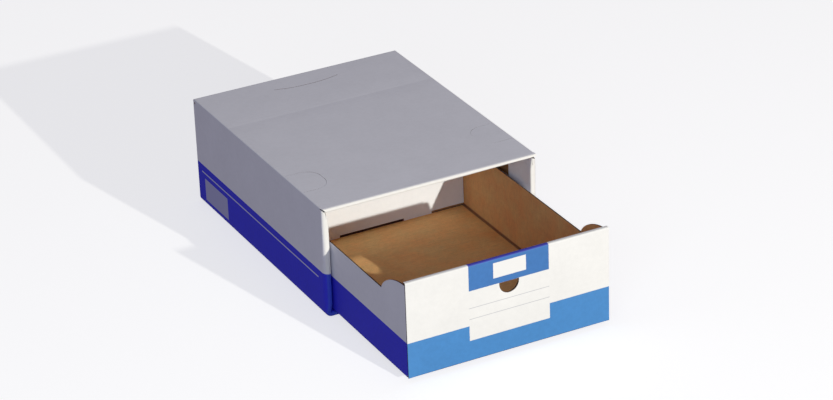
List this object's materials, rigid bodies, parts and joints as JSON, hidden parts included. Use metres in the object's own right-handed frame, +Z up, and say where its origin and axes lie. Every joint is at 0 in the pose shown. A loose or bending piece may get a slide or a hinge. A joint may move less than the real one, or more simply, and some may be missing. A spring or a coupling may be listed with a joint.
{
  "type": "file box with drawer",
  "caption": "File storage box of folded corrugated board: an open-fronted sleeve and a tray drawer with a finger hole, rounded ears and rolled-over ends, which slides in and out.",
  "frame": {"origin": "centre of the sleeve's underside, on the surface that it rests on", "axes": "+Y from the open mouth to the back, so the drawer comes out along -Y; +Z up; X across the mouth"},
  "size_m": [0.27, 0.52, 0.134],
  "materials": {
    "white_board": "coarse corrugated board, matt white liner outside with a blue printed band, brown kraft inside",
    "kraft_board": "brown kraft corrugated board, matt",
    "drawer_board": "fine corrugated board, matt white liner outside with a blue band, brown kraft inside",
    "drawer_front": "fine corrugated board, matt white liner printed with a blue band, a blue patch and a label field"
  },
  "bodies": {
    "sleeve": {"sleeve_top_panel": "white_board", "sleeve_right_side": "white_board", "sleeve_left_side": "white_board", "sleeve_bottom_panel": "white_board", "mouth_lining_top": "white_board", "mouth_lining_right": "white_board", "mouth_lining_left": "white_board", "mouth_lining_bottom": "white_board", "sleeve_back_wall": "white_board", "back_tuck_flap": "kraft_board", "back_dust_flap_right": "kraft_board", "back_dust_flap_left": "kraft_board", "sleeve_glue_flap": "kraft_board"},
    "drawer": {"drawer_floor": "kraft_board", "drawer_right_wall": "drawer_board", "drawer_left_wall": "drawer_board", "drawer_front_panel": "drawer_front", "drawer_front_top_strip": "drawer_front", "drawer_front_lining": "drawer_front", "front_corner_flap_right": "kraft_board", "front_corner_flap_left": "kraft_board", "drawer_back_panel": "drawer_board", "drawer_back_top_strip": "drawer_board", "drawer_back_lining": "drawer_board", "back_corner_flap_right": "kraft_board", "back_corner_flap_left": "kraft_board"},
    "right_tongue": {"link_tongue_right": "white_board"},
    "left_tongue": {"link_tongue_left": "white_board"}
  },
  "joints": [
    {"name": "drawer_slide", "type": "slide", "parent": "sleeve", "child": "drawer", "axis": [0, -1, 0], "range_m": [-0.178, 0.165]},
    {"name": "right_tongue_fold", "type": "hinge", "parent": "sleeve", "child": "right_tongue", "pos_m": [0.1323, -0.0995, 0.134], "axis": [0, 1, 0], "range_deg": [0, 90]},
    {"name": "left_tongue_fold", "type": "hinge", "parent": "sleeve", "child": "left_tongue", "pos_m": [-0.1323, -0.0995, 0.134], "axis": [0, -1, 0], "range_deg": [0, 90]}
  ]
}
